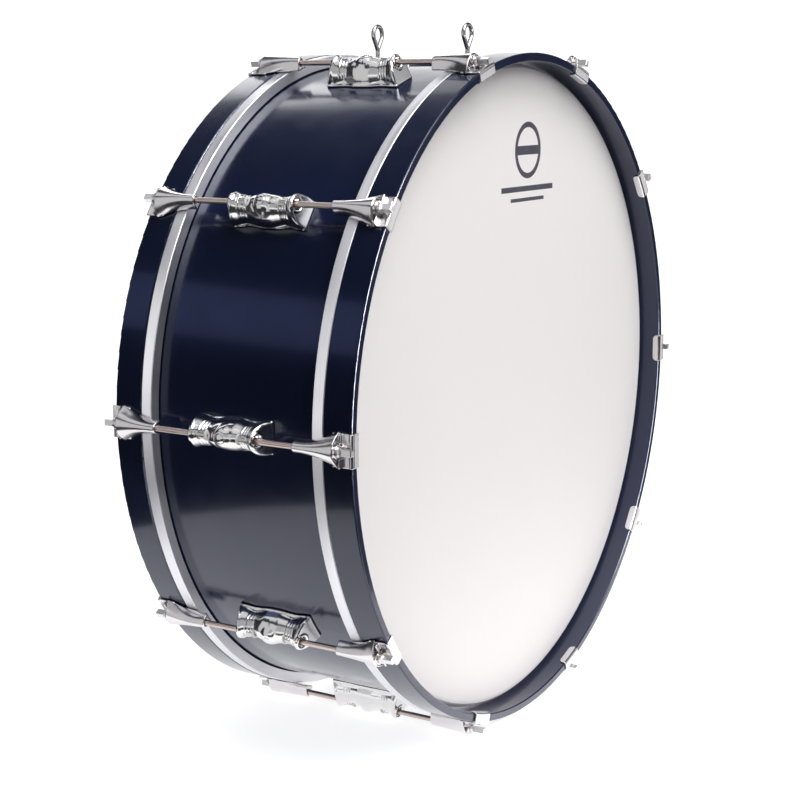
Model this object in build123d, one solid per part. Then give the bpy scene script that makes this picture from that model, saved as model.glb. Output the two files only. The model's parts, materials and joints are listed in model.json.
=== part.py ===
"""A marching bass drum: a plywood shell with two heads, each pulled down by a hoop, ten claws and ten
tension rods.

The drum stands on its two hoops. +Z is up, the drum's axis lies along Y, the front head faces -Y, and
the origin is on the floor under the middle of the drum. Hardware is modelled once in a station frame,
where X runs outwards from the drum's axis, Y along it and Z round it, and is then turned to each of the
ten stations.
"""

import math
import os

from build123d import *

# Driving dimensions, in millimetres
HOOP_OUTER_R = 368.5
HOOP_THICK = 9.0
HOOP_WIDTH = 33.0
HOOP_EDGE_ROUND = 1.6
TOTAL_DEPTH = 285.0  # over both hoops
HEAD_RECESS = 24.4  # from a hoop's outer edge down to the head
SHELL_OUTER_R = 354.5
SHELL_THICK = 7.5
FLESH_WIDTH = 12.6
FLESH_OUTER_R = 368.0
FLESH_INNER_R = 356.2
FILM_THICK = 0.3
STATIONS = 10
ROD_AXIS_R = 376.5
ROD_R = 3.0
THREAD_CLEARANCE = 0.05
LUG_LENGTH = 88.0
LUG_SCREW_Y = 15.0
EYE_BOLT_Y = 58.0

# Worked out from the driving dimensions
AXIS_Z = HOOP_OUTER_R
HALF_DEPTH = TOTAL_DEPTH / 2
HOOP_INNER_R = HOOP_OUTER_R - HOOP_THICK
HOOP_INNER_Y = HALF_DEPTH - HOOP_WIDTH
FLESH_INNER_Y = HOOP_INNER_Y - FLESH_WIDTH
EDGE_Y = HALF_DEPTH - HEAD_RECESS  # the bearing edges
SHELL_INNER_R = SHELL_OUTER_R - SHELL_THICK
STATION_STEP = 360 / STATIONS
# clockwise from the top
STATION_ANGLES = [90 - STATION_STEP / 2 - STATION_STEP * i for i in range(STATIONS)]

# Shell
BEARING_APEX_R = 352.5
BEARING_CHAMFER = 5.5
LUG_SCREW_HOLE_R = 2.8
EYE_BOLT_HOLE_R = 2.8
VENT_ANGLE = -18.0
VENT_HOLE_R = 6.0

# Lugs
GASKET_THICK = 0.8
LUG_BASE_R = SHELL_OUTER_R + GASKET_THICK
LUG_WALL = 2.0
# (distance from the lug's middle, half width at the foot, half width at the rod, height of the top)
LUG_SECTIONS = [(0.0, 16.5, 13.2, 27.0), (12.0, 15.4, 11.0, 26.6), (23.0, 12.8, 7.4, 25.0),
                (33.0, 13.8, 8.0, 26.6), (44.0, 15.2, 9.0, 28.0)]
LUG_END_WALL = 3.0
LUG_END_LEAN = 5.5  # how much further the foot reaches than the top, at each end
LUG_DOME_R = 12.6
LUG_DOME_HEIGHT = 29.6
LUG_DOME_CURVE = 24.0
LUG_NECK_R = 7.8
LUG_MOUTH_OUTER_R = 9.2
LUG_MOUTH_R = 7.6
LUG_MOUTH_DEPTH = 8.0
LUG_BORE_R = 4.1
NUT_SEAT_Y = 34.0
SCREW_BOSS_R = 4.8
SCREW_BOSS_HEIGHT = 13.0
SCREW_WEB_THICK = 2.4
SCREW_DEPTH = 10.0
SCREW_R = 2.5

# Swivel nuts and their keepers
NUT_LENGTH = 14.0
NUT_R = 4.8
NUT_FLANGE_R = 5.6
NUT_CHAMBER_R = 5.9
NUT_FLANGE_THICK = 3.0
KEEPER_THICK = 2.0

# Rods
ROD_TIP_Y = 19.0
SEAT_Y = 133.0  # the claw's seat for the rod's washer
WASHER_THICK = 1.2
WASHER_R = 5.6
FLANGE_R = 5.2
HEAD_GAP = 0.05
FLANGE_THICK = 2.4
KEY_SQUARE = 6.35
KEY_END_Y = 148.5

# Claws
CLAW_SMALL_Y = 83.0
CLAW_FACE_Y = 130.0
CLAW_BOTTOM_R = 369.0
CLAW_BORE_R = 3.5
# (distance from the drum's middle, half width, radius of the crown)
CLAW_SECTIONS = [
    (83.0, 6.8, 383.2), (96.0, 7.4, 383.6), (109.0, 10.2, 384.0), (121.0, 14.8, 384.6), (130.0, 19.0, 385.2),
]
CLAW_WALL = 2.2
CLAW_POCKET_DEPTH = 5.0
CLAW_WEB_THICK = 3.0
CLAW_BOSS_R = 7.4
CLAW_WING = (5.0, 1.7, 9.0)  # out from the hoop, along the drum, round it
CLAW_WING_AT = 11.8
HOOK_WIDTH = 33.0
HOOK_THICK = 1.8
HOOK_START_Y = 122.0
HOOK_LIP = 8.0
HOOK_GAP = 0.3

# Eye bolts
EYE_WIRE_R = 2.4
EYE_LOOP_R = 9.2
EYE_TOP_HEIGHT = 47.2
EYE_NECK_HEIGHT = 18.5
EYE_SHANK_R = 2.5
EYE_SHANK_INSIDE = 12.0


def ring(points):
    """A closed outline of (radius, y) points turned about the drum's axis."""
    face = make_face(Polyline(*[(r, y, 0) for r, y in points], close=True))
    return revolve(face, Axis.Y, 360)


def disc(x, radius, thick, y=0.0, z=0.0):
    """A round plate standing outwards from radius x, with its axis along the station's X."""
    plane = Plane(origin=(x, y, z), z_dir=(1, 0, 0))
    return plane * Cylinder(radius, thick, align=(Align.CENTER, Align.CENTER, Align.MIN))


def hexagon(x, across_flats, thick, y=0.0):
    """A hexagonal plate standing outwards from radius x."""
    plane = Plane(origin=(x, y, 0), z_dir=(1, 0, 0))
    return extrude(plane * RegularPolygon(across_flats / 2, 6, major_radius=False), thick)


def rod_cylinder(radius, y_from, y_to):
    """A cylinder on the rod's axis between two places along the drum."""
    plane = Plane(origin=(ROD_AXIS_R, y_from, 0), z_dir=(0, 1, 0))
    return plane * Cylinder(radius, y_to - y_from, align=(Align.CENTER, Align.CENTER, Align.MIN))


def rod_cone(radius_from, radius_to, y_from, y_to):
    """A cone on the rod's axis between two places along the drum."""
    plane = Plane(origin=(ROD_AXIS_R, y_from, 0), z_dir=(0, 1, 0))
    return plane * Cone(radius_from, radius_to, y_to - y_from, align=(Align.CENTER, Align.CENTER, Align.MIN))


def at_station(shape, angle, rear=False):
    """A shape of the station frame, placed on the drum. The rear is the front turned half round X."""
    turned = Rot(180, 0, 0) * shape if rear else shape
    return Pos(0, 0, AXIS_Z) * Rot(0, -angle, 0) * turned


def on_axis(shape, rear=False):
    """A shape turned about the drum's axis, lifted to its height. The rear is the front turned half round."""
    turned = Rot(0, 0, 180) * shape if rear else shape
    return Pos(0, 0, AXIS_Z) * turned


def at_stations(shapes, rear=False):
    """Copies of these solids at all ten stations."""
    return [at_station(shape, angle, rear) for angle in STATION_ANGLES for shape in shapes]


def make_shell():
    tube = ring([
        (SHELL_INNER_R, EDGE_Y - BEARING_CHAMFER),
        (BEARING_APEX_R, EDGE_Y),
        (SHELL_OUTER_R, EDGE_Y - (SHELL_OUTER_R - BEARING_APEX_R)),
        (SHELL_OUTER_R, -EDGE_Y + (SHELL_OUTER_R - BEARING_APEX_R)),
        (BEARING_APEX_R, -EDGE_Y),
        (SHELL_INNER_R, -EDGE_Y + BEARING_CHAMFER),
    ])
    drill_from = SHELL_INNER_R - 5
    drill_length = SHELL_THICK + 10
    holes = [
        Rot(0, -angle, 0) * disc(drill_from, LUG_SCREW_HOLE_R, drill_length, y)
        for angle in STATION_ANGLES
        for y in (-LUG_SCREW_Y, LUG_SCREW_Y)
    ]
    holes += [
        Rot(0, -90, 0) * disc(drill_from, EYE_BOLT_HOLE_R, drill_length, y)
        for y in (-EYE_BOLT_Y, EYE_BOLT_Y)
    ]
    holes.append(Rot(0, -VENT_ANGLE, 0) * disc(drill_from, VENT_HOLE_R, drill_length))
    return on_axis(tube - holes)


def arch_face(y, foot_x, foot, waist, top_x):
    """A lug's section across the drum's axis: a flat foot under a round arch, as wide as waist at the rod."""
    rod_x = ROD_AXIS_R
    shoulder_x = rod_x + 0.62 * (top_x - rod_x)
    shoulder = 0.74 * waist
    low_x = foot_x + 0.35 * (rod_x - foot_x)
    low = waist + 0.45 * (foot - waist)
    side = [(foot_x, foot), (low_x, low), (rod_x, waist), (shoulder_x, shoulder)]
    points = side + [(top_x, 0)] + [(x, -z) for x, z in reversed(side)]
    arch = Spline(*[(x, y, z) for x, z in points])
    base = Line((foot_x, y, -foot), (foot_x, y, foot))
    return make_face([arch, base])


def both_ways(sections):
    """The half list of sections, mirrored about the middle."""
    return [(-s[0], *s[1:]) for s in reversed(sections)] + list(sections[1:])


def make_lug_body():
    """The outside of a lug before its ends are cut: three bulges, the dome, the rod's neck and mouths."""
    half = LUG_LENGTH / 2
    foot_x = SHELL_OUTER_R - 1.0
    body = loft([
        arch_face(y, foot_x, foot, waist, SHELL_OUTER_R + height)
        for y, foot, waist, height in both_ways(LUG_SECTIONS)
    ])
    dome = disc(foot_x, LUG_DOME_R, LUG_DOME_HEIGHT + 2)
    dome &= Pos(SHELL_OUTER_R + LUG_DOME_HEIGHT - LUG_DOME_CURVE, 0, 0) * Sphere(LUG_DOME_CURVE)
    body = body + dome + rod_cylinder(LUG_NECK_R, -half, half)
    for side in (-1, 1):
        mouth = rod_cone(LUG_NECK_R - 0.4, LUG_MOUTH_OUTER_R, half - 15, half)
        body += mouth if side > 0 else Rot(180, 0, 0) * mouth
    return body


def make_lug():
    half = LUG_LENGTH / 2
    foot_x = SHELL_OUTER_R - 1.0
    end_y = half - LUG_END_LEAN - LUG_END_WALL
    hollow_sections = [s for s in LUG_SECTIONS if s[0] < end_y] + [(end_y, 14.4, 8.5, 27.2)]
    hollow = loft([
        arch_face(y, foot_x - 1.0, foot - LUG_WALL, waist - LUG_WALL, SHELL_OUTER_R + height - LUG_WALL)
        for y, foot, waist, height in both_ways(hollow_sections)
    ])
    neck = rod_cylinder(LUG_NECK_R - 0.2, NUT_SEAT_Y - NUT_LENGTH - KEEPER_THICK, half)
    cavity = hollow - [neck, Rot(180, 0, 0) * neck]
    for y in (-LUG_SCREW_Y, LUG_SCREW_Y):
        cavity -= disc(foot_x - 2, SCREW_BOSS_R, SCREW_BOSS_HEIGHT + 2, y)
        cavity -= Pos(foot_x + SCREW_BOSS_HEIGHT / 2 - 1, y, 0) * Box(SCREW_BOSS_HEIGHT, SCREW_WEB_THICK, 40)
    # the way through for the rods, the chambers for their nuts and the mouths
    mouth = rod_cone(LUG_BORE_R - 0.4, LUG_MOUTH_R, half - LUG_MOUTH_DEPTH, half)
    lug = make_lug_body() - cavity - rod_cylinder(LUG_BORE_R, -half - 1, half + 1)
    lug -= rod_cylinder(NUT_CHAMBER_R, -NUT_SEAT_Y, NUT_SEAT_Y)
    lug = lug - mouth - Rot(180, 0, 0) * mouth
    for y in (-LUG_SCREW_Y, LUG_SCREW_Y):
        lug -= disc(foot_x - 3, SCREW_R + THREAD_CLEARANCE, SCREW_DEPTH + 5, y)
    # each end leans back from its foot to its top
    lean = make_face(Polyline(
        (foot_x, half, 0), (foot_x + 3, half, 0), (foot_x + 40, half - LUG_END_LEAN * 1.25, 0),
        (foot_x + 40, half + 10, 0), (foot_x, half + 10, 0), close=True))
    cut = extrude(lean, 30, both=True)
    sleeve = Plane(origin=(0, -LUG_LENGTH, 0), z_dir=(0, 1, 0)) * Cylinder(
        LUG_BASE_R, 2 * LUG_LENGTH, align=(Align.CENTER, Align.CENTER, Align.MIN))
    return lug - [cut, Rot(180, 0, 0) * cut, sleeve]


def make_gasket():
    """The thin pad between a lug and the shell, with the lug's footprint."""
    sleeve = Plane(origin=(0, -LUG_LENGTH / 2, 0), z_dir=(0, 1, 0)) * (
        Cylinder(LUG_BASE_R, LUG_LENGTH, align=(Align.CENTER, Align.CENTER, Align.MIN))
        - Cylinder(SHELL_OUTER_R, LUG_LENGTH, align=(Align.CENTER, Align.CENTER, Align.MIN)))
    half = [(y, foot) for y, foot, _, _ in both_ways(LUG_SECTIONS)]
    edge = Spline(*[(SHELL_OUTER_R - 5, y, foot) for y, foot in half])
    back = Spline(*[(SHELL_OUTER_R - 5, y, -foot) for y, foot in half])
    ends = [Line(edge @ 0, back @ 0), Line(edge @ 1, back @ 1)]
    footprint = extrude(make_face([edge, back, *ends]), 20, dir=(1, 0, 0))
    pad = sleeve & footprint
    for y in (-LUG_SCREW_Y, LUG_SCREW_Y):
        pad -= disc(SHELL_OUTER_R - 5, SCREW_BOSS_R - 2, 12, y)
    return pad


def make_swivel_nut():
    inner = -NUT_SEAT_Y + NUT_LENGTH
    nut = rod_cylinder(NUT_R, -NUT_SEAT_Y, inner)
    nut += rod_cylinder(NUT_FLANGE_R, -NUT_SEAT_Y, -NUT_SEAT_Y + NUT_FLANGE_THICK)
    return nut - rod_cylinder(ROD_R + THREAD_CLEARANCE, -NUT_SEAT_Y - 1, inner + 1)


def make_keeper():
    """The nylon ring that holds a swivel nut against its seat while no rod is in it."""
    nut_end = -NUT_SEAT_Y + NUT_LENGTH
    body = rod_cylinder(NUT_FLANGE_R, nut_end, nut_end + KEEPER_THICK)
    return body - rod_cylinder(ROD_R + 0.6, nut_end - 1, nut_end + KEEPER_THICK + 1)


def make_lug_screws():
    """A lug's two screws, driven from inside the shell, and their washers."""
    washer_top = SHELL_INNER_R - 0.1
    screws, washers = [], []
    for y in (-LUG_SCREW_Y, LUG_SCREW_Y):
        washer = disc(washer_top - 1.0, 6.0, 1.0, y) - disc(washer_top - 2.0, SCREW_R + 0.3, 3.0, y)
        washers.append(washer)
        head_x = washer_top - 1.0 - 3.4
        head = hexagon(head_x, 8.0, 3.4, y)
        shank = disc(head_x, SCREW_R, SHELL_OUTER_R + SCREW_DEPTH - head_x, y)
        screws.append(head + shank)
    return screws, washers


def make_rod():
    flange_in = -SEAT_Y - WASHER_THICK - HEAD_GAP
    flange_out = flange_in - FLANGE_THICK
    rod = rod_cylinder(ROD_R, flange_in - 1, -ROD_TIP_Y)
    rod = chamfer(rod.edges().sort_by(Axis.Y)[-1], 0.6)
    rod += rod_cylinder(FLANGE_R, flange_out, flange_in)
    key = Box(KEY_SQUARE, KEY_END_Y + flange_out, KEY_SQUARE)
    key = Pos(ROD_AXIS_R, (flange_out - KEY_END_Y) / 2, 0) * key
    key = chamfer(key.faces().sort_by(Axis.Y)[0].edges(), 0.7)
    return rod + key


def make_rod_washer():
    washer = rod_cylinder(WASHER_R, -SEAT_Y - WASHER_THICK, -SEAT_Y)
    return washer - rod_cylinder(ROD_R + 0.3, -SEAT_Y - 2, -SEAT_Y + 1)


def claw_face(y, half_width, crown_x, bottom_x):
    """A claw's section: flat on the hoop, crowned over the rod, thinner towards its sides."""
    rise = crown_x - bottom_x
    slim = min(1.0, 7.0 / half_width)  # a wide section falls away towards its sides
    side = [(bottom_x, half_width), (bottom_x + rise * (0.16 + 0.3 * slim), half_width * 0.99),
            (bottom_x + rise * (0.52 + 0.3 * slim), half_width * (0.5 + 0.27 * slim))]
    points = side + [(crown_x, 0)] + [(x, -z) for x, z in reversed(side)]
    crown = Spline(*[(x, -y, z) for x, z in points])
    base = Line((bottom_x, -y, -half_width), (bottom_x, -y, half_width))
    return make_face([crown, base])


def claw_loft(sections, inset, bottom_x):
    """The claw's horn through these sections, drawn in by that much."""
    return loft([claw_face(y, half - inset, crown - inset, bottom_x) for y, half, crown in sections])


def make_claw():
    """A horn that carries the rod, a fan whose front is hollowed, and the hook that grips the hoop."""
    pocket_from = CLAW_FACE_Y - CLAW_POCKET_DEPTH
    web_from = pocket_from - CLAW_WEB_THICK
    front = [(pocket_from, 16.8, 384.9), (CLAW_FACE_Y + 3, 20.3, 385.4)]
    under = [(88.0, 6.9, 383.3), *CLAW_SECTIONS[1:3], (web_from, 13.4, 384.5)]
    claw = claw_loft(CLAW_SECTIONS, 0.0, CLAW_BOTTOM_R)
    claw -= claw_loft(front, CLAW_WALL, CLAW_BOTTOM_R + CLAW_WALL)
    claw -= claw_loft(under, CLAW_WALL, CLAW_BOTTOM_R - 1)
    # the hook: along the hoop's outside, over its edge and back under it
    edge = HALF_DEPTH + HOOK_GAP
    outside = HOOP_OUTER_R + HOOK_GAP
    inside = HOOP_INNER_R - HOOK_GAP
    hook = make_face(Polyline(
        (outside, -HOOK_START_Y, 0), (outside, -edge, 0), (inside, -edge, 0), (inside, -edge + HOOK_LIP, 0),
        (inside - HOOK_THICK, -edge + HOOK_LIP, 0), (inside - HOOK_THICK, -edge - HOOK_THICK, 0),
        (outside + HOOK_THICK, -edge - HOOK_THICK, 0), (outside + HOOK_THICK, -HOOK_START_Y, 0), close=True))
    hook = extrude(hook, HOOK_WIDTH / 2, both=True)
    hook = fillet(hook.edges().filter_by(Axis.Z).group_by(Axis.Y)[0], HOOK_THICK * 0.85)
    boss = rod_cylinder(CLAW_BOSS_R, -SEAT_Y, -pocket_from + 1)
    boss -= Pos(HOOP_OUTER_R - 10 + HOOK_GAP, -SEAT_Y, 0) * Box(20, 60, 60)
    claw += [hook, boss]
    tall, thick, wide = CLAW_WING
    for side in (-1, 1):
        claw += Pos(outside + tall / 2, -SEAT_Y + thick / 2, side * CLAW_WING_AT) * Box(tall, thick, wide)
    # the hoop curves away beneath a hook that is straight across
    drum = Plane(origin=(0, -edge, 0), z_dir=(0, 1, 0)) * Cylinder(
        outside, edge, align=(Align.CENTER, Align.CENTER, Align.MIN))
    bore = Plane(origin=(0, -edge, 0), z_dir=(0, 1, 0)) * Cylinder(
        inside, edge, align=(Align.CENTER, Align.CENTER, Align.MIN))
    return claw - rod_cylinder(CLAW_BORE_R, -SEAT_Y - 5, -CLAW_SMALL_Y + 5) - (drum - bore)


def make_hoop():
    band = ring([
        (HOOP_INNER_R, -HALF_DEPTH), (HOOP_OUTER_R, -HALF_DEPTH),
        (HOOP_OUTER_R, -HOOP_INNER_Y), (HOOP_INNER_R, -HOOP_INNER_Y)])
    return fillet(band.edges().filter_by(GeomType.CIRCLE), HOOP_EDGE_ROUND)


def make_flesh_hoop():
    """The head's aluminium channel, with the slot that the film is set in."""
    slot_in = FLESH_INNER_R + 0.9
    slot_out = slot_in + 0.7
    slot_bottom = -FLESH_INNER_Y - 3.4
    return ring([
        (slot_out, -HOOP_INNER_Y), (FLESH_OUTER_R - 0.8, -HOOP_INNER_Y), (FLESH_OUTER_R, -HOOP_INNER_Y + 0.8),
        (FLESH_OUTER_R, -FLESH_INNER_Y - 0.8), (FLESH_OUTER_R - 0.8, -FLESH_INNER_Y),
        (FLESH_INNER_R, -FLESH_INNER_Y), (FLESH_INNER_R, -HOOP_INNER_Y), (slot_in, -HOOP_INNER_Y),
        (slot_in, slot_bottom), (slot_out, slot_bottom)])


def make_head():
    """The film: flat over the bearing edge, then down over its collar into the flesh hoop's slot."""
    lift = 0.1
    skirt_r = FLESH_INNER_R + 1.1
    skirt_end = -FLESH_INNER_Y - 4.4
    film = FILM_THICK
    return ring([
        (0, -EDGE_Y - lift), (BEARING_APEX_R + 0.2, -EDGE_Y - lift), (SHELL_OUTER_R + 0.4, -EDGE_Y + 1.9),
        (skirt_r, -EDGE_Y + 7), (skirt_r, skirt_end), (skirt_r + film, skirt_end),
        (skirt_r + film, -EDGE_Y + 6.9), (SHELL_OUTER_R + 0.4 + film, -EDGE_Y + 1.7),
        (BEARING_APEX_R + 0.35, -EDGE_Y - lift - film), (0, -EDGE_Y - lift - film)])


def make_eye_bolt(y):
    """A teardrop wire eye in the plane of the heads, on a threaded shank through the shell."""
    centre = SHELL_OUTER_R + EYE_TOP_HEIGHT - EYE_WIRE_R - EYE_LOOP_R
    neck = SHELL_OUTER_R + EYE_NECK_HEIGHT
    reach = centre - neck
    lean = math.asin(EYE_LOOP_R / reach)
    touch_x = centre - EYE_LOOP_R * math.sin(lean)
    touch_z = EYE_LOOP_R * math.cos(lean)
    start, end, crown = (touch_x, y, touch_z), (touch_x, y, -touch_z), (centre + EYE_LOOP_R, y, 0)
    loop = ThreePointArc(start, crown, end)
    eye = sweep(Plane(origin=start, z_dir=loop % 0) * Circle(EYE_WIRE_R), path=loop)
    tip = (neck, y, 0)
    for leg_end in (start, end):
        leg = Line(tip, leg_end)
        eye += Plane(origin=tip, z_dir=leg % 0) * Cylinder(
            EYE_WIRE_R, leg.length, align=(Align.CENTER, Align.CENTER, Align.MIN))
    eye += Pos(*tip) * Sphere(EYE_SHANK_R)
    shank_from = SHELL_INNER_R - EYE_SHANK_INSIDE
    return eye + disc(shank_from, EYE_SHANK_R, neck - shank_from, y)


def make_eye_bolt_fixings(y):
    """(outer washers, outer nuts, inner washers, inner nuts) on one eye bolt."""
    bore = EYE_SHANK_R + THREAD_CLEARANCE
    top_washer = disc(SHELL_OUTER_R, 8.0, 1.4, y) - disc(SHELL_OUTER_R - 1, bore + 0.2, 4, y)
    top_nut = hexagon(SHELL_OUTER_R + 1.4, 9.0, 4.0, y) - disc(SHELL_OUTER_R, bore, 8, y)
    low_x = SHELL_INNER_R - 0.15
    low_washer = disc(low_x - 1.5, 9.0, 1.5, y) - disc(low_x - 3, bore + 0.2, 5, y)
    low_nut = hexagon(low_x - 1.5 - 4.5, 9.0, 4.5, y) - disc(low_x - 8, bore, 9, y)
    return top_washer, top_nut, low_washer, low_nut


def make_vent():
    """The flanged eyelet that lines the air hole, and the washer that holds it from inside."""
    tube_r, bore_r, flange_r = VENT_HOLE_R - 0.1, 4.6, 9.5
    low_x = SHELL_INNER_R - 0.2
    eyelet = disc(low_x - 2.0, tube_r, SHELL_OUTER_R - low_x + 3.2, 0)
    flange = disc(SHELL_OUTER_R, flange_r, 1.2)
    eyelet = eyelet + fillet(flange.edges().filter_by(GeomType.CIRCLE).group_by(Axis.X)[-1], 0.7)
    eyelet -= disc(low_x - 5, bore_r, 25)
    washer = disc(low_x - 1.2, flange_r, 1.2) - disc(low_x - 3, tube_r, 6)
    return eyelet, washer


def save(name, shapes):
    """Writes one node: one solid, or a group of separate ones."""
    solids = [solid for shape in shapes for solid in shape.solids()]
    export_step(solids[0] if len(solids) == 1 else Compound(children=solids), f"parts/{name}.step")
    print(name, len(solids), round(sum(solid.volume for solid in solids)))


def main():
    os.makedirs("parts", exist_ok=True)
    save("shell", [make_shell()])

    lug = make_lug()
    for number, angle in enumerate(STATION_ANGLES, 1):
        save(f"lug_{number:02d}", [at_station(lug, angle)])
    save("lug_gaskets", at_stations([make_gasket()]))
    screws, screw_washers = make_lug_screws()
    save("lug_screws", at_stations(screws))
    save("lug_screw_washers", at_stations(screw_washers))
    nut, keeper = make_swivel_nut(), make_keeper()
    save("swivel_nuts", at_stations([nut]) + at_stations([nut], rear=True))
    save("nut_keepers", at_stations([keeper]) + at_stations([keeper], rear=True))

    rod, rod_washer, claw = make_rod(), make_rod_washer(), make_claw()
    hoop, flesh_hoop, head = make_hoop(), make_flesh_hoop(), make_head()
    for side, rear in (("front", False), ("rear", True)):
        for number, angle in enumerate(STATION_ANGLES, 1):
            save(f"{side}_rod_{number:02d}", [at_station(rod, angle, rear)])
        save(f"{side}_rod_washers", at_stations([rod_washer], rear))
        save(f"{side}_claws", at_stations([claw], rear))
        save(f"{side}_hoop", [on_axis(hoop, rear)])
        save(f"{side}_flesh_hoop", [on_axis(flesh_hoop, rear)])
        save(f"{side}_head", [on_axis(head, rear)])

    fixings = []
    for side, y in (("front", -EYE_BOLT_Y), ("rear", EYE_BOLT_Y)):
        save(f"{side}_eye_bolt", [at_station(make_eye_bolt(y), 90)])
        fixings.append(make_eye_bolt_fixings(y))
    names = ("eye_bolt_seats", "eye_bolt_lock_nuts", "eye_bolt_washers", "eye_bolt_nuts")
    for name, pair in zip(names, zip(*fixings)):
        save(name, [at_station(piece, 90) for piece in pair])

    eyelet, vent_washer = make_vent()
    save("vent_eyelet", [at_station(eyelet, VENT_ANGLE)])
    save("vent_washer", [at_station(vent_washer, VENT_ANGLE)])


main()
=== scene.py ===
"""The bass drum's visual model: lugs and claws as blended castings, and a procedural material on every piece.

Cast pieces are modelled in a station frame in millimetres, where X runs outwards from the drum's axis,
Y along it and Z round it, and are then turned to each station. The rest is in metres, in the frame's axes.
"""

import json
import math

import bmesh
import bpy
import numpy as np
from mathutils import Matrix, Vector


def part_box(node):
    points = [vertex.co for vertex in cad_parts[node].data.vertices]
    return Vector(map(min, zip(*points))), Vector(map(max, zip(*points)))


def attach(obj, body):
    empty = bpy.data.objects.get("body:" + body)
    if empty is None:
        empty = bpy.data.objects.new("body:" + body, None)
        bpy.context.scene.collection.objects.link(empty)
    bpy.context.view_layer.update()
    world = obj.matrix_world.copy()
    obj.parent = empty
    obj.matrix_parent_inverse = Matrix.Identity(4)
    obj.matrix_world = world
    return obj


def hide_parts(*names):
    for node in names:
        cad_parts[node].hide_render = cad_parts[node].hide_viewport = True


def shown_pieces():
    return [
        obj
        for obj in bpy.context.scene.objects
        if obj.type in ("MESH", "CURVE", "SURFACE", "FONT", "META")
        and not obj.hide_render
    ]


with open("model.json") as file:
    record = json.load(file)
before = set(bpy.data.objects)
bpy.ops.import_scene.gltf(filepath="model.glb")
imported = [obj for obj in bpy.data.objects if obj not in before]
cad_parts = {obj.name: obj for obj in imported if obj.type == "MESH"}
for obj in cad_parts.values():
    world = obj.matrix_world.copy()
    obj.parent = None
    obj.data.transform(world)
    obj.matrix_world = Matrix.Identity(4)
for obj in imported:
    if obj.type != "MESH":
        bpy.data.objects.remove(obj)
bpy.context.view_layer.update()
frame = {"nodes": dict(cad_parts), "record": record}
scene = bpy.context.scene
nodes = frame["nodes"]

# Sizes shared with the CAD, in millimetres, read from its boxes
hoop_low, hoop_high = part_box("front_hoop")
shell_low, shell_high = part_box("shell")
MM = 1000
HOOP_R = (hoop_high[0] - hoop_low[0]) / 2 * MM
SHELL_R = (shell_high[0] - shell_low[0]) / 2 * MM
AXIS_Z = (hoop_high[2] + hoop_low[2]) / 2
HALF_DEPTH = -hoop_low[1] * MM
HOOP_THICK = 9.0
ROD_R = (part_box("front_rod_03")[1][0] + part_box("front_rod_03")[0][0]) / 2 * MM
STATIONS = 10
STATION_ANGLES = [90 - 180 / STATIONS - 360 / STATIONS * i for i in range(STATIONS)]

# The camera, as an orbit about the drum's middle
CAMERA_AZIMUTH, CAMERA_ELEVATION, CAMERA_ROLL = -58.664, 10.622, -0.096
CAMERA_DISTANCE = 1.954
CAMERA_SLIDE = (-0.0251, -0.0236)  # to the camera's right and up
CAMERA_LENS = 76.17

# The front head's print: the ring's middle, and each rule's drop below it, half width and half height
MARK_PLACE = (0.03, 0.632)
MARK_RING_R, MARK_RING_HALF, MARK_BAR_HALF = 0.028, 0.003, 0.005
MARK_RULES = ((0.042, 0.062, 0.003), (0.054, 0.04, 0.002))
MARK_INK = (0.05, 0.05, 0.07)

# Where the rods' heads begin, from the drum's middle along its axis
ROD_HEAD_FROM = 0.1335

LACQUERS = ("navy_shell_lacquer", "navy_hoop_lacquer")


# ---------------------------------------------------------------- camera, floor and light

def orbit(azimuth, elevation, distance):
    """A place round the drum's middle. Azimuth 0 is in front of the drum and -90 to its left."""
    az, el = math.radians(azimuth), math.radians(elevation)
    way = Vector((math.sin(az) * math.cos(el), -math.cos(az) * math.cos(el), math.sin(el)))
    return Vector((0, 0, AXIS_Z)) + way * distance


def make_camera():
    camera = bpy.data.objects.new("camera", bpy.data.cameras.new("camera"))
    scene.collection.objects.link(camera)
    place = orbit(CAMERA_AZIMUTH, CAMERA_ELEVATION, CAMERA_DISTANCE)
    turn = (Vector((0, 0, AXIS_Z)) - place).to_track_quat("-Z", "Y").to_matrix()
    place += turn.col[0] * CAMERA_SLIDE[0] + turn.col[1] * CAMERA_SLIDE[1]
    roll = Matrix.Rotation(math.radians(CAMERA_ROLL), 3, "Z")
    camera.matrix_world = Matrix.Translation(place) @ (turn @ roll).to_4x4()
    camera.data.lens = CAMERA_LENS
    camera.data.sensor_width = 36
    camera.data.clip_end = 50
    scene.camera = camera


def area_light(name, azimuth, elevation, distance, size, power, only=None):
    """A soft box facing the drum's middle, which may light only one collection of pieces."""
    light = bpy.data.lights.new(name, "AREA")
    light.shape = "RECTANGLE"
    light.size, light.size_y = size
    light.energy = power
    lamp = bpy.data.objects.new(name, light)
    scene.collection.objects.link(lamp)
    place = orbit(azimuth, elevation, distance)
    turn = (Vector((0, 0, AXIS_Z)) - place).to_track_quat("-Z", "Y").to_matrix()
    lamp.matrix_world = Matrix.Translation(place) @ turn.to_4x4()
    if only:
        lamp.light_linking.receiver_collection = only
    return lamp


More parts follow.
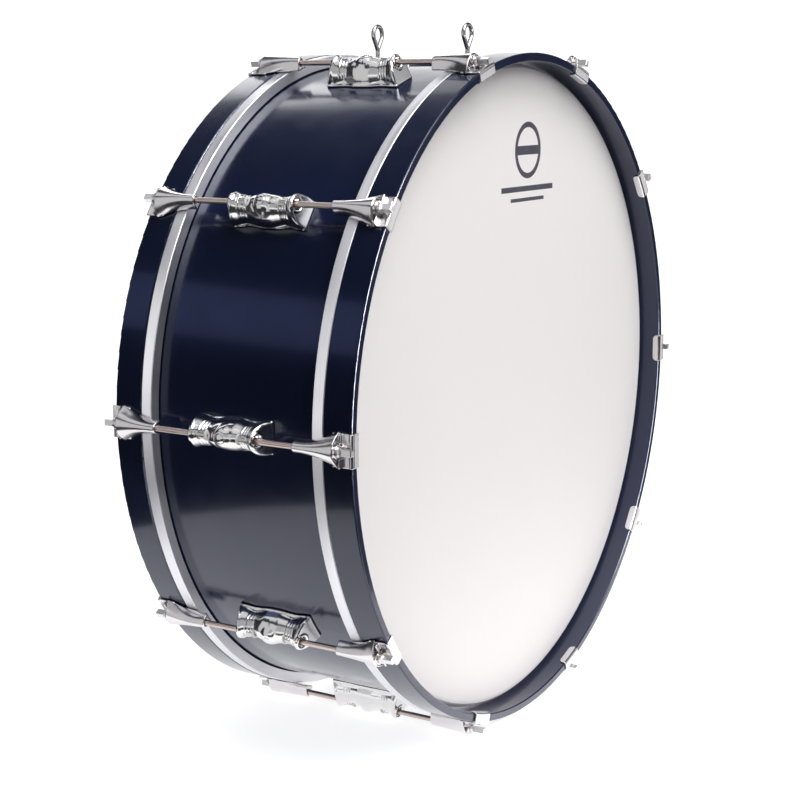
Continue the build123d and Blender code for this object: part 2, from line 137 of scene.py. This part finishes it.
def make_floor():
    """A pale strip under the drum that sweeps up behind it."""
    away = math.radians(CAMERA_AZIMUTH)
    along = Vector((-math.sin(away), math.cos(away), 0))
    across = Vector((math.cos(away), math.sin(away), 0))
    sweep_r, sweep_points, flat_from, flat_to, top = 1.2, 24, -0.6, 2.2, 4.5
    narrow, spread = 0.6, 0.3
    profile = [(flat_from, 0.0), (0.0, 0.0)]
    for turn in np.radians(np.linspace(0, 90, sweep_points)):
        profile.append((flat_to + sweep_r * math.sin(turn), sweep_r * (1 - math.cos(turn))))
    profile.append((flat_to + sweep_r, top))
    mesh = bmesh.new()
    rows = []
    for d, z in profile:
        half = narrow + spread * max(d, 0)
        rows.append([mesh.verts.new(along * d + across * s * half + Vector((0, 0, z))) for s in (-1, 1)])
    for low, high in zip(rows, rows[1:]):
        mesh.faces.new((low[0], low[1], high[1], high[0]))
    floor = add_mesh("floor", mesh)
    floor.data.materials.append(floor_material())


def make_world():
    """A dark room, a little lighter overhead."""
    world = bpy.data.worlds.new("studio")
    scene.world = world
    world.use_nodes = True
    tree = world.node_tree
    where = tree.nodes.new("ShaderNodeTexCoord")
    split = tree.nodes.new("ShaderNodeSeparateXYZ")
    ramp = tree.nodes.new("ShaderNodeValToRGB")
    tree.links.new(where.outputs["Generated"], split.inputs[0])
    tree.links.new(split.outputs["Z"], ramp.inputs["Fac"])
    stops = ramp.color_ramp.elements
    stops[0].position, stops[0].color = 0.0, (0.035, 0.035, 0.04, 1)
    stops[1].position, stops[1].color = 0.9, (0.06, 0.065, 0.09, 1)
    stops.new(0.4).color = (0.03, 0.03, 0.035, 1)
    back = tree.nodes["Background"]
    tree.links.new(ramp.outputs["Color"], back.inputs["Color"])


def collection_of(name, pieces):
    """A collection that a light can be kept to."""
    group = bpy.data.collections.new(name)
    for piece in pieces:
        group.objects.link(piece)
    return group


def make_lights():
    """Broad soft boxes over and in front, and dimmer cards that only some of the pieces see.

    The lacquer is kept from most of the cards, so that it stays dark beside the bright metal.
    """
    bright = collection_of("bright_pieces", [
        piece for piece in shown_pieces()
        if not any(slot.material and slot.material.name in LACQUERS for slot in piece.material_slots)])
    hoops = collection_of("hoops", [nodes["front_hoop"], nodes["rear_hoop"]])
    heads = collection_of("heads", [nodes["front_head"], nodes["rear_head"]])
    bands = collection_of("flesh_hoops", [nodes["front_flesh_hoop"], nodes["rear_flesh_hoop"]])
    lacquered = collection_of("lacquered", [nodes["shell"], nodes["front_hoop"], nodes["rear_hoop"]])
    area_light("overhead", 0, 88, 2.2, (1.8, 1.8), 6)
    area_light("front_key", -12, 52, 2.6, (2.2, 2.2), 67)
    area_light("front_top", -5, 75, 1.6, (1.0, 1.0), 12, heads)
    area_light("front_fill", 30, 14, 2.8, (2.4, 1.8), 6)
    area_light("back_rim", 150, 40, 2.6, (1.2, 0.8), 5)
    area_light("camera_card", -75, 14, 2.5, (2.6, 1.8), 6, bright)
    area_light("high_card", -75, 58, 2.3, (2.0, 1.4), 6, bright)
    area_light("low_card", -80, -3, 2.4, (2.2, 0.4), 2, bright)
    area_light("right_card", 59, -4, 2.4, (1.2, 1.2), 3.6, bright)
    area_light("side_card", -122, 4, 2.4, (1.6, 2.1), 6.5, bright)
    area_light("band_card", -122, 10, 2.4, (1.5, 1.6), 6, bands)
    area_light("side_high_card", -140, 48, 2.4, (1.3, 0.9), 2.4, bright)
    area_light("far_high_card", 131, 42, 2.4, (1.3, 0.9), 2.4, bright)
    area_light("edge_strip", 0, 12, 2.4, (0.9, 2.2), 300, hoops).visible_diffuse = False
    sheen = area_light("lacquer_sheen", -122, 22, 2.4, (0.9, 0.6), 1.2, lacquered)
    sheen.data.color = (0.42, 0.52, 1.0)
    sheen.visible_diffuse = False


# ---------------------------------------------------------------- materials

class Shader:
    """A Principled material and the few node helpers that the materials below share."""

    def __init__(self, name, colour, roughness, metallic=0.0, **sockets):
        self.material = bpy.data.materials.new(name)
        self.material.use_nodes = True
        self.tree = self.material.node_tree
        self.shader = self.tree.nodes["Principled BSDF"]
        self.shader.inputs["Base Color"].default_value = (*colour, 1)
        self.shader.inputs["Roughness"].default_value = roughness
        self.shader.inputs["Metallic"].default_value = metallic
        for socket, value in sockets.items():
            self.shader.inputs[socket.replace("_", " ")].default_value = value
        self.place = self.add("ShaderNodeTexCoord").outputs["Object"]

    def add(self, kind, **values):
        node = self.tree.nodes.new(kind)
        for key, value in values.items():
            setattr(node, key, value)
        return node

    def link(self, source, target):
        self.tree.links.new(source, target)

    def stretched(self, scale):
        node = self.add("ShaderNodeMapping")
        node.inputs["Scale"].default_value = scale
        self.link(self.place, node.inputs["Vector"])
        return node.outputs["Vector"]

    def noise(self, scale, detail=3.0, where=None, rough=0.5):
        node = self.add("ShaderNodeTexNoise")
        node.inputs["Scale"].default_value = scale
        node.inputs["Detail"].default_value = detail
        node.inputs["Roughness"].default_value = rough
        self.link(where or self.place, node.inputs["Vector"])
        return node.outputs["Fac"]

    def map(self, value, low, high, from_low=0.3, from_high=0.7):
        node = self.add("ShaderNodeMapRange")
        node.inputs["From Min"].default_value = from_low
        node.inputs["From Max"].default_value = from_high
        node.inputs["To Min"].default_value = low
        node.inputs["To Max"].default_value = high
        self.link(value, node.inputs["Value"])
        return node.outputs["Result"]

    def blend(self, fac, first, second):
        """One colour turning into another as fac goes from 0 to 1."""
        node = self.add("ShaderNodeMix", data_type="RGBA")
        node.inputs["A"].default_value = (*first, 1)
        node.inputs["B"].default_value = (*second, 1)
        self.link(fac, node.inputs["Factor"])
        return node.outputs["Result"]

    def mix_over(self, fac, under, colour):
        """A colour laid over another socket's colour where fac is 1."""
        node = self.add("ShaderNodeMix", data_type="RGBA")
        self.link(under, node.inputs["A"])
        node.inputs["B"].default_value = (*colour, 1)
        self.link(fac, node.inputs["Factor"])
        return node.outputs["Result"]

    def edges(self, low=0.53, high=0.6):
        """1 along sharp outer edges, where a finish wears first; the lacquer and the aluminium use it for a
        painted highlight.
        """
        geometry = self.add("ShaderNodeNewGeometry")
        return self.map(geometry.outputs["Pointiness"], 0.0, 1.0, low, high)

    def colour(self, value):
        self.link(value, self.shader.inputs["Base Color"])

    def roughness(self, value):
        self.link(value, self.shader.inputs["Roughness"])

    def bump(self, height, strength, distance, socket="Normal"):
        node = self.add("ShaderNodeBump")
        node.inputs["Strength"].default_value = strength
        node.inputs["Distance"].default_value = distance
        self.link(height, node.inputs["Height"])
        self.link(node.outputs["Normal"], self.shader.inputs[socket])


def lacquer_material(name, deep, bright, coat_roughness):
    """Sprayed gloss lacquer over wood: faint orange peel in the clear coat, a slightly uneven colour coat, and
    a painted highlight along sharp edges.
    """
    s = Shader(name, deep, 0.2, Coat_Weight=0.6, Coat_Roughness=coat_roughness, Specular_IOR_Level=0.5,
               Specular_Tint=(0.72, 0.75, 1.0, 1.0))
    # painted highlight: the colour turns a lighter blue along sharp edges, standing in for the light caught on
    # the hoops' corners
    at_edges = tuple(4 * c for c in bright)
    edge_tone = s.map(s.edges(), 0.0, 0.25, 0.0, 1.0)
    s.colour(s.mix_over(edge_tone, s.blend(s.noise(9.0, 4.0), deep, bright), at_edges))
    s.roughness(s.map(s.noise(30.0, 5.0), 0.18, 0.27))
    s.bump(s.noise(900.0, 2.0), 0.06, 0.0002)
    s.bump(s.noise(260.0, 1.5), 0.05, 0.0004, "Coat Normal")
    return s.material


def plate_material(name, bright, dull, low, high, edge_tone=(0.5, 0.45, 0.4)):
    """Polished plating on a casting: faint haze, a soft waviness under the polish, dulled edges."""
    s = Shader(name, bright, low, 1.0)
    haze = s.noise(55.0, 5.0)
    at_edges = s.map(s.edges(0.56, 0.66), 0.0, 0.35, 0.0, 1.0)
    s.colour(s.mix_over(at_edges, s.blend(haze, dull, bright), edge_tone))
    s.roughness(s.map(haze, low, high))
    s.bump(s.noise(130.0, 2.0), 0.035, 0.0006)
    return s.material


def rod_material():
    """Drawn and plated steel with fine marks along its length, and a paler plating on its head."""
    s = Shader("rod_plating", (0.42, 0.36, 0.34), 0.2, 1.0, Anisotropic=0.3)
    drawn = s.noise(40.0, 4.0, s.stretched((60.0, 1.2, 60.0)))
    split = s.add("ShaderNodeSeparateXYZ")
    s.link(s.place, split.inputs[0])
    along = s.add("ShaderNodeMath", operation="ABSOLUTE")
    s.link(split.outputs["Y"], along.inputs[0])
    head = s.map(along.outputs[0], 0.0, 1.0, ROD_HEAD_FROM, ROD_HEAD_FROM + 0.001)
    s.colour(s.mix_over(head, s.blend(drawn, (0.48, 0.39, 0.36), (0.74, 0.63, 0.59)), (0.80, 0.79, 0.79)))
    s.roughness(s.map(drawn, 0.2, 0.36))
    s.bump(drawn, 0.12, 0.0001)
    return s.material


def bright_steel_material():
    """Zinc plating, faintly clouded."""
    s = Shader("zinc_plating", (0.6, 0.59, 0.58), 0.25, 1.0)
    cloud = s.noise(160.0, 5.0)
    s.colour(s.blend(cloud, (0.46, 0.45, 0.44), (0.68, 0.67, 0.65)))
    s.roughness(s.map(cloud, 0.18, 0.36))
    s.bump(s.noise(600.0, 3.0), 0.08, 0.0001)
    return s.material


def flesh_hoop_material():
    """Extruded aluminium, brushed round the hoop, with a painted highlight along its sharp edges."""
    s = Shader("satin_aluminium", (0.62, 0.62, 0.65), 0.34, 1.0, Anisotropic=0.4)
    across = s.noise(30.0, 3.0, s.stretched((1.0, 90.0, 1.0)), 0.65)
    cloud = s.noise(14.0, 4.0)
    brushed = s.blend(across, (0.74, 0.735, 0.77), (0.88, 0.87, 0.90))
    # painted highlight: the aluminium turns paler along its sharp edges
    edge_highlight = s.map(s.edges(), 0.0, 0.7, 0.0, 1.0)
    s.colour(s.mix_over(edge_highlight, brushed, (0.92, 0.92, 0.94)))
    s.roughness(s.map(cloud, 0.42, 0.54))
    s.bump(across, 0.15, 0.0001)
    return s.material


def film_material(name, marked):
    """Coated white film: a fine sprayed tooth, barely uneven in colour, and greyer towards its collar, which
    is painted shade where it meets the hoop.

    A marked film carries a plain printed device of a ring, a bar across it and two rules below.
    """
    s = Shader(name, (0.83, 0.80, 0.795), 0.5, Specular_IOR_Level=0.35, Sheen_Weight=0.05)
    cloud = s.noise(5.0, 4.0)
    centre = s.add("ShaderNodeVectorMath", operation="SUBTRACT")
    centre.inputs[1].default_value = (0, 0, AXIS_Z)
    s.link(s.place, centre.inputs[0])
    flat = s.add("ShaderNodeVectorMath", operation="MULTIPLY")
    flat.inputs[1].default_value = (1, 0, 1)
    s.link(centre.outputs["Vector"], flat.inputs[0])
    radius = s.add("ShaderNodeVectorMath", operation="LENGTH")
    s.link(flat.outputs["Vector"], radius.inputs[0])
    # painted shade: the film greys over its last few millimetres, where it meets the hoop
    rim = s.map(radius.outputs["Value"], 0.0, 0.55, (SHELL_R - 6) / MM, (SHELL_R + 1) / MM)
    white = s.mix_over(rim, s.blend(cloud, (0.835, 0.80, 0.795), (0.865, 0.83, 0.825)), (0.34, 0.33, 0.35))
    if marked:
        white = s.mix_over(device(s), white, MARK_INK)
    s.colour(white)
    s.roughness(s.map(s.noise(60.0, 4.0), 0.42, 0.58))
    s.bump(s.noise(1400.0, 2.0), 0.12, 0.0001)
    return s.material


def device(s):
    """1 where the head is printed: a ring with a bar across it, over two rules."""
    x, z = MARK_PLACE
    split = s.add("ShaderNodeSeparateXYZ")
    s.link(s.place, split.inputs[0])

    def math_node(operation, first, second, third=0.0):
        node = s.add("ShaderNodeMath", operation=operation)
        for socket, value in zip(node.inputs, (first, second, third)):
            if isinstance(value, float):
                socket.default_value = value
            else:
                s.link(value, socket)
        return node.outputs[0]

    def bar(at_x, at_z, half_x, half_z):
        return math_node("MULTIPLY", math_node("COMPARE", split.outputs["X"], at_x, half_x),
                         math_node("COMPARE", split.outputs["Z"], at_z, half_z))

    away = s.add("ShaderNodeVectorMath", operation="DISTANCE")
    flat = s.add("ShaderNodeCombineXYZ")
    s.link(split.outputs["X"], flat.inputs["X"])
    s.link(split.outputs["Z"], flat.inputs["Z"])
    s.link(flat.outputs[0], away.inputs[0])
    away.inputs[1].default_value = (x, 0, z)
    ink = math_node("COMPARE", away.outputs["Value"], MARK_RING_R, MARK_RING_HALF)
    ink = math_node("MAXIMUM", ink, bar(x, z, MARK_RING_R, MARK_BAR_HALF))
    for drop, half_width, half_height in MARK_RULES:
        ink = math_node("MAXIMUM", ink, bar(x, z - drop, half_width, half_height))
    return ink


def rubber_material():
    """Matt black rubber."""
    s = Shader("black_rubber", (0.02, 0.02, 0.02), 0.7)
    s.colour(s.blend(s.noise(90.0, 4.0), (0.012, 0.012, 0.012), (0.035, 0.034, 0.033)))
    s.roughness(s.map(s.noise(200.0, 3.0), 0.6, 0.8))
    s.bump(s.noise(900.0, 3.0), 0.2, 0.0001)
    return s.material


def nylon_material():
    """Moulded nylon in its natural off-white."""
    s = Shader("natural_nylon", (0.78, 0.77, 0.72), 0.5, Subsurface_Weight=0.1)
    s.colour(s.blend(s.noise(120.0, 3.0), (0.72, 0.71, 0.66), (0.82, 0.81, 0.77)))
    s.bump(s.noise(700.0, 2.0), 0.1, 0.0001)
    return s.material


def floor_material():
    """White paper that glows, so that the drum's shadow on it stays pale."""
    s = Shader("paper", (0.6, 0.6, 0.6), 0.9, Specular_IOR_Level=0.1)
    s.colour(s.blend(s.noise(3.0, 3.0), (0.59, 0.59, 0.59), (0.61, 0.61, 0.61)))
    s.shader.inputs["Emission Color"].default_value = (1, 1, 1, 1)
    s.shader.inputs["Emission Strength"].default_value = 0.86
    return s.material


# ---------------------------------------------------------------- meshes from implicit shapes

def add_mesh(name, built):
    data = bpy.data.meshes.new(name)
    built.to_mesh(data)
    built.free()
    piece = bpy.data.objects.new(name, data)
    scene.collection.objects.link(piece)
    return piece


def soft_min(a, b, k):
    """The lesser of a and b, with the corner between them filled to a radius of about k."""
    h = np.clip(0.5 + 0.5 * (b - a) / k, 0, 1)
    return b + (a - b) * h - k * h * (1 - h)


def soft_max(a, b, k):
    return -soft_min(-a, -b, k)


def smooth_step(t, low, high):
    t = np.clip((t - low) / (high - low), 0, 1)
    return t * t * (3 - 2 * t)


def through(points, at):
    """A smooth curve through (place, value) points, read at these places."""
    xs, ys = np.array(points, float).T
    slopes = np.gradient(ys, xs)
    i = np.clip(np.searchsorted(xs, at) - 1, 0, len(xs) - 2)
    span = xs[i + 1] - xs[i]
    t = np.clip((at - xs[i]) / span, 0, 1)
    return ((2 * t**3 - 3 * t**2 + 1) * ys[i] + (t**3 - 2 * t**2 + t) * span * slopes[i]
            + (3 * t**2 - 2 * t**3) * ys[i + 1] + (t**3 - t**2) * span * slopes[i + 1])


def skin(shape, low, high, step):
    """Vertices and quads of the surface where shape(points) is 0.

    Surface nets give one vertex to each cell that the surface crosses, and each is then slid onto it.
    """
    steps_home, nudge_by, least_slope = 4, 0.04, 0.05
    axes = [np.arange(a, b + step, step) for a, b in zip(low, high)]
    grid = np.stack(np.meshgrid(*axes, indexing="ij"), -1)
    field = shape(grid.reshape(-1, 3)).reshape(grid.shape[:3])
    inside = field < 0
    cells = [n - 1 for n in inside.shape]
    total, count = np.zeros((*cells, 3)), np.zeros(cells)
    corners = [(i, j, k) for i in (0, 1) for j in (0, 1) for k in (0, 1)]

    def corner(values, c):
        return values[c[0]:c[0] + cells[0], c[1]:c[1] + cells[1], c[2]:c[2] + cells[2]]

    # each crossed cell's vertex is the mean of the crossings on its edges
    for a in corners:
        for axis in range(3):
            if a[axis]:
                continue
            b = tuple(v + (n == axis) for n, v in enumerate(a))
            fa, fb = corner(field, a), corner(field, b)
            crossed = (fa < 0) != (fb < 0)
            t = np.where(crossed, fa / np.where(crossed, fa - fb, 1), 0)
            spot = corner(grid, a) + t[..., None] * (corner(grid, b) - corner(grid, a))
            total += np.where(crossed[..., None], spot, 0)
            count += crossed
    used = count > 0
    index = np.full(cells, -1)
    index[used] = np.arange(used.sum())
    points = total[used] / count[used][:, None]
    # each crossed grid edge gets a quad of the four cells round it, turned to face outwards
    quads = []
    for axis in range(3):
        near = [slice(1, -1)] * 3
        near[axis] = slice(0, -1)
        far = list(near)
        far[axis] = slice(1, None)
        flip = inside[tuple(far)] & ~inside[tuple(near)]
        crossed = inside[tuple(near)] != inside[tuple(far)]
        u, v = [n for n in range(3) if n != axis]
        where = np.argwhere(crossed)
        for n in (u, v):
            where[:, n] += 1
        ring = []
        for du, dv in ((-1, -1), (0, -1), (0, 0), (-1, 0)):
            cell = where.copy()
            cell[:, u] += du
            cell[:, v] += dv
            ring.append(index[tuple(cell.T)])
        faces = np.stack(ring, 1)
        turned = flip[crossed] if axis != 1 else ~flip[crossed]
        faces[turned] = faces[turned][:, ::-1]
        quads.append(faces)
    # the vertices slide down the slope onto the surface, by half a cell at most each time
    for _ in range(steps_home):
        value = shape(points)
        slope = np.empty_like(points)
        for axis in range(3):
            nudge = np.zeros(3)
            nudge[axis] = nudge_by
            slope[:, axis] = (shape(points + nudge) - shape(points - nudge)) / (2 * nudge_by)
        size = np.maximum((slope**2).sum(1), least_slope)
        move = value[:, None] * slope / size[:, None]
        reach = np.linalg.norm(move, axis=1, keepdims=True)
        points = points - move * np.minimum(1, 0.5 * step / np.maximum(reach, 1e-9))
    return points, np.concatenate(quads)


def mesh_from(name, points, quads):
    """A smooth-shaded mesh, in metres, of a shape made in millimetres."""
    data = bpy.data.meshes.new(name)
    data.from_pydata((points / MM).tolist(), [], quads.tolist())
    data.validate()
    data.polygons.foreach_set("use_smooth", [True] * len(data.polygons))
    data.update()
    return data


def station_matrix(angle, rear=False):
    """The place of a station's frame. The rear is the front turned half round X."""
    turned = Matrix.Rotation(math.pi, 4, "X") if rear else Matrix.Identity(4)
    return Matrix.Translation((0, 0, AXIS_Z)) @ Matrix.Rotation(-math.radians(angle), 4, "Y") @ turned


# ---------------------------------------------------------------- lugs

# The sides at the foot, the sides higher up and the top, as (distance from the middle, size) points
LUG_HALF = 44.0
LUG_FOOT = [(0, 16.4), (10, 16.1), (20, 14.8), (26, 14.6), (36, 15.8), (46, 16.2)]
LUG_WAIST = [(0, 15.8), (9, 15.3), (17, 13.4), (23, 12.4), (29, 13.4), (36, 15.2), (46, 15.8)]
LUG_TOP = [(0, 27.6), (12, 26.6), (20, 24.6), (27, 25.6), (36, 29.0), (46, 29.6)]
LUG_RIBS_FROM, LUG_RIBS_TO, LUG_RIB_PITCH = 21.4, 28.6, 3.6
LUG_RING_RISE, LUG_RING_HEIGHTS = 0.9, (7, 16)
LUG_LEAN = 14.0
LUG_LIP_IN, LUG_LIP_WIDE = 2.2, 1.5
LUG_RIM, LUG_RIM_HEIGHTS = 0.7, (1.6, 3.6)
LUG_SHOULDER = 6.0
LUG_DOME_HEIGHT, LUG_DOME_HALVES = 11, (15.8, 13.8, 19.4)
LUG_GROOVE_R, LUG_GROOVE_DEEP, LUG_GROOVE_WIDE = 5.2, 0.3, 0.5
LUG_BEAD_R, LUG_BEAD_WIRE_R = 7.0, 1.6
LUG_MOUTH_R, LUG_BORE_R, LUG_BORE_FROM = 5.4, 4.2, 27


def lug_shape(p):
    """A casting with a domed middle, a ribbed neck each side of it and two ends that open round the rods."""
    y, z = np.abs(p[:, 1]), np.abs(p[:, 2])
    height = np.hypot(p[:, 0], p[:, 2]) - SHELL_R
    rise = p[:, 0] - ROD_R
    rings = 0.5 + 0.5 * np.cos((y - LUG_RIBS_FROM) / LUG_RIB_PITCH * 2 * math.pi)
    past_neck = smooth_step(y, LUG_RIBS_TO, LUG_RIBS_TO + 2)
    rings *= smooth_step(y, LUG_RIBS_FROM - 2, LUG_RIBS_FROM) * (1 - past_neck)
    rings *= LUG_RING_RISE * smooth_step(height, *LUG_RING_HEIGHTS)
    # the ends lean back, and each has a rounded lip
    lean = math.radians(LUG_LEAN)
    end = (y - LUG_HALF) * math.cos(lean) + (height - 2) * math.sin(lean)
    rings += LUG_RING_RISE * np.exp(-((end + LUG_LIP_IN) / LUG_LIP_WIDE) ** 2)
    foot, waist, top = through(LUG_FOOT, y), through(LUG_WAIST, y) + rings, through(LUG_TOP, y) + rings
    # above shoulder height the section is an arch, and below it the sides widen to the foot's rim
    down = np.clip((LUG_SHOULDER - height) / LUG_SHOULDER, 0, 1)
    rim = LUG_RIM * (1 - smooth_step(height, *LUG_RIM_HEIGHTS))
    side = z - (waist + (foot - waist) * down**1.2 + rim)
    tall = top - LUG_SHOULDER
    arch = (np.hypot(z / waist, np.maximum(height - LUG_SHOULDER, 0) / tall) - 1) * np.minimum(waist, tall)
    body = np.where(height > LUG_SHOULDER, arch, side) * 0.85
    half_long, half_wide, half_tall = LUG_DOME_HALVES
    up = (height - LUG_DOME_HEIGHT) / half_tall
    dome = (np.sqrt((p[:, 1] / half_long) ** 2 + (z / half_wide) ** 2 + up**2) - 1) * half_wide
    body = soft_min(body, dome, 0.5)
    # a fine groove round the top of the dome
    groove = np.exp(-((np.hypot(p[:, 1], z) - LUG_GROOVE_R) / LUG_GROOVE_WIDE) ** 2)
    body = body + LUG_GROOVE_DEEP * groove * (rise > 0)
    # each end opens round its rod in a funnel with a bead round it
    from_rod = np.hypot(rise, z)
    bead = np.hypot(from_rod - LUG_BEAD_R, end + 0.3) - LUG_BEAD_WIRE_R
    body = soft_max(body, end, 1.8)
    body = soft_min(body, bead, 0.8)
    depth = np.clip(LUG_HALF - 6 - y, 0, 20)
    funnel = from_rod - np.maximum(LUG_BORE_R, LUG_MOUTH_R - 0.3 * depth)
    funnel = np.maximum(funnel, LUG_BORE_FROM - y)
    body = soft_max(body, -funnel, 0.8)
    return soft_max(body, 0.8 - height, 0.7)


def make_lugs(finish):
    """Ten castings that share a mesh, each in the place of its CAD lug."""
    low = (SHELL_R - 1.5, -LUG_HALF - 2, -19)
    high = (SHELL_R + 33, LUG_HALF + 2, 19)
    data = mesh_from("lug_casting", *skin(lug_shape, low, high, 0.6))
    data.materials.append(finish)
    for number, angle in enumerate(STATION_ANGLES, 1):
        piece = bpy.data.objects.new(f"lug_casting_{number:02d}", data)
        scene.collection.objects.link(piece)
        piece.matrix_world = station_matrix(angle)
        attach(piece, "shell_assembly")
        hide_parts(f"lug_{number:02d}")


# ---------------------------------------------------------------- claws

# The horn's half width and height along the drum's axis, as (distance from the middle, size) points
CLAW_WIDTH = [(83, 6.9), (92, 7.0), (103, 8.4), (113, 11.3), (122, 15.4), (131, 19.3)]
CLAW_CROWN = [(83, 14.0), (100, 14.7), (118, 15.6), (131, 16.6)]
CLAW_SMALL_END, CLAW_FACE, CLAW_SEAT = 83.0, 130.0, 133.0
CLAW_WALL, CLAW_POCKET_FROM, CLAW_POCKET_FLOOR = 2.1, 125.0, 2.9
CLAW_BOSS_R, CLAW_BOSS_FROM, CLAW_BORE_R = 7.0, 120.0, 3.55
# The power of the horn's section at its small end, and where it drops and by how much
HORN_POWER, HORN_DROP, HORN_DROP_PLACES = 2.2, 1.0, (96, 128)
# How high above the hoop the horn begins, and the boss and the wings
HORN_FOOT, BOSS_FOOT = 0.7, 0.6
# A plate each side of the boss: its middle and its half sizes, across, up and along the drum's axis
WING_PLACE, WING_HALVES, WING_CORNER = (11.8, 3.4, 132.3), (4.7, 3.4, 0.85), 1.2
HOOK_GAP, HOOK_THICK, HOOK_HALF, HOOK_LIP, HOOK_FROM = 0.3, 1.8, 16.5, 8.0, 122.0
HOOK_BEND_R, HOOK_BEAD_R, HOOK_BEAD_IN, TONGUE_CORNER = 2.6, 2.0, (0.4, 0.3), 5.5


def horn(height, y, z, inset):
    """The claw's horn: round at its small end, a thin-sided arch at its fan."""
    wide, tall = through(CLAW_WIDTH, y) - inset, through(CLAW_CROWN, y) - inset
    power = HORN_POWER - HORN_DROP * smooth_step(y, *HORN_DROP_PLACES)
    up = np.clip(height, 0, None)
    return ((z / wide) ** 2 + (up / tall) ** power - 1) * np.minimum(wide, tall) * 0.6


def rounded_box(u, v, half_u, half_v, r):
    du, dv = np.abs(u) - half_u + r, np.abs(v) - half_v + r
    return np.hypot(np.maximum(du, 0), np.maximum(dv, 0)) + np.minimum(np.maximum(du, dv), 0) - r


def claw_shape(p):
    """The casting: a horn and fan over the hoop, and the hook that grips the hoop's edge."""
    y, z = -p[:, 1], np.abs(p[:, 2])
    radius = np.hypot(p[:, 0], p[:, 2])
    height = p[:, 0] - HOOP_R
    from_rod = np.hypot(p[:, 0] - ROD_R, z)
    body = soft_max(horn(height, y, z, 0.0), HORN_FOOT - height, 0.8)
    body = soft_max(body, y - CLAW_FACE, 0.7)
    body = soft_max(body, CLAW_SMALL_END - y, 1.2)
    # the fan is hollow in front, with a boss in it for the rod
    pocket = np.maximum(CLAW_POCKET_FROM - y, CLAW_POCKET_FLOOR - height)
    pocket = np.maximum(horn(height, y, z, CLAW_WALL), pocket)
    body = soft_max(body, -pocket, 0.7)
    boss = np.maximum(np.maximum(from_rod - CLAW_BOSS_R, y - CLAW_SEAT), CLAW_BOSS_FROM - y)
    body = soft_min(body, np.maximum(boss, BOSS_FOOT - height), 0.7)
    across, up, along = WING_PLACE
    half_across, half_up, half_along = WING_HALVES
    wing = rounded_box(z - across, height - up, half_across, half_up, WING_CORNER)
    wing = np.maximum(wing, np.abs(y - along) - half_along)
    body = soft_min(body, np.maximum(wing, BOSS_FOOT - height), 0.5)
    # the hook: a plate bent round the hoop's edge, open behind
    edge = HALF_DEPTH + HOOK_GAP
    middle = HOOP_R - HOOP_THICK / 2
    around = HOOP_THICK / 2 + HOOK_GAP + HOOK_THICK / 2
    half_run = 40  # longer than the hook, whose ends are cut below
    section = rounded_box(radius - middle, y - edge - HOOK_THICK / 2 + half_run, around, half_run, HOOK_BEND_R)
    hook = np.abs(section) - HOOK_THICK / 2
    hook = soft_max(hook, np.where(radius > middle, HOOK_FROM, edge - HOOK_LIP) - y, 0.6)
    bead = np.hypot(radius - middle - around + HOOK_BEAD_IN[0], y - edge + HOOK_BEAD_IN[1]) - HOOK_BEAD_R
    hook = soft_min(hook, bead, 0.6)
    # its sides are straight outside the hoop, and its tongue inside has round corners
    tongue = rounded_box(z, y - edge + HOOK_LIP - half_run, HOOK_HALF, half_run, TONGUE_CORNER)
    hook = soft_max(hook, np.where(radius < middle, tongue, z - HOOK_HALF), 0.5)
    body = soft_min(body, hook, 0.6)
    return soft_max(body, CLAW_BORE_R - from_rod, 0.3)


def make_claws(finish):
    """Twenty castings that share a mesh, each in the place of its CAD claw."""
    low = (HOOP_R - HOOP_THICK - 4, -HALF_DEPTH - 4, -21)
    high = (HOOP_R + 19, -CLAW_SMALL_END + 2, 21)
    data = mesh_from("claw_casting", *skin(claw_shape, low, high, 0.55))
    data.materials.append(finish)
    for side, rear in (("front", False), ("rear", True)):
        for number, angle in enumerate(STATION_ANGLES, 1):
            piece = bpy.data.objects.new(f"{side}_claw_casting_{number:02d}", data)
            scene.collection.objects.link(piece)
            piece.matrix_world = station_matrix(angle, rear)
            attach(piece, f"{side}_hoop_assembly")
            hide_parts(f"{side}_claws")


# ---------------------------------------------------------------- the CAD nodes' finishes

def finish_nodes(by_slot):
    """Gives each CAD node the material of its slot in the record."""
    slots = {part["node"]: part["material_slot"] for part in frame["record"]["subparts"]}
    for name, node in nodes.items():
        if not node.material_slots:
            node.data.materials.append(None)
        for slot in node.material_slots:
            slot.link = "OBJECT"
            slot.material = by_slot[slots[name]]


def main():
    scene.view_settings.view_transform = "Standard"
    make_camera()
    make_world()
    chrome = plate_material("chrome_plating", (0.86, 0.85, 0.85), (0.76, 0.75, 0.76), 0.1, 0.18)
    nickel = plate_material("nickel_plating", (0.82, 0.80, 0.81), (0.70, 0.68, 0.69), 0.14, 0.24)
    finish_nodes({
        "shell_lacquer": lacquer_material(
            LACQUERS[0], (0.0027, 0.0054, 0.021), (0.0048, 0.0094, 0.034), 0.12),
        "hoop_lacquer": lacquer_material(LACQUERS[1], (0.005, 0.009, 0.030), (0.008, 0.014, 0.045), 0.09),
        "chrome": chrome,
        "nickel": nickel,
        "rod_steel": rod_material(),
        "steel": bright_steel_material(),
        "flesh_hoop": flesh_hoop_material(),
        "film": film_material("coated_film", False),
        "gasket": rubber_material(),
        "nylon": nylon_material(),
    })
    nodes["front_head"].material_slots[0].material = film_material("printed_film", True)
    make_lugs(chrome)
    make_claws(nickel)
    make_lights()
    make_floor()


main()
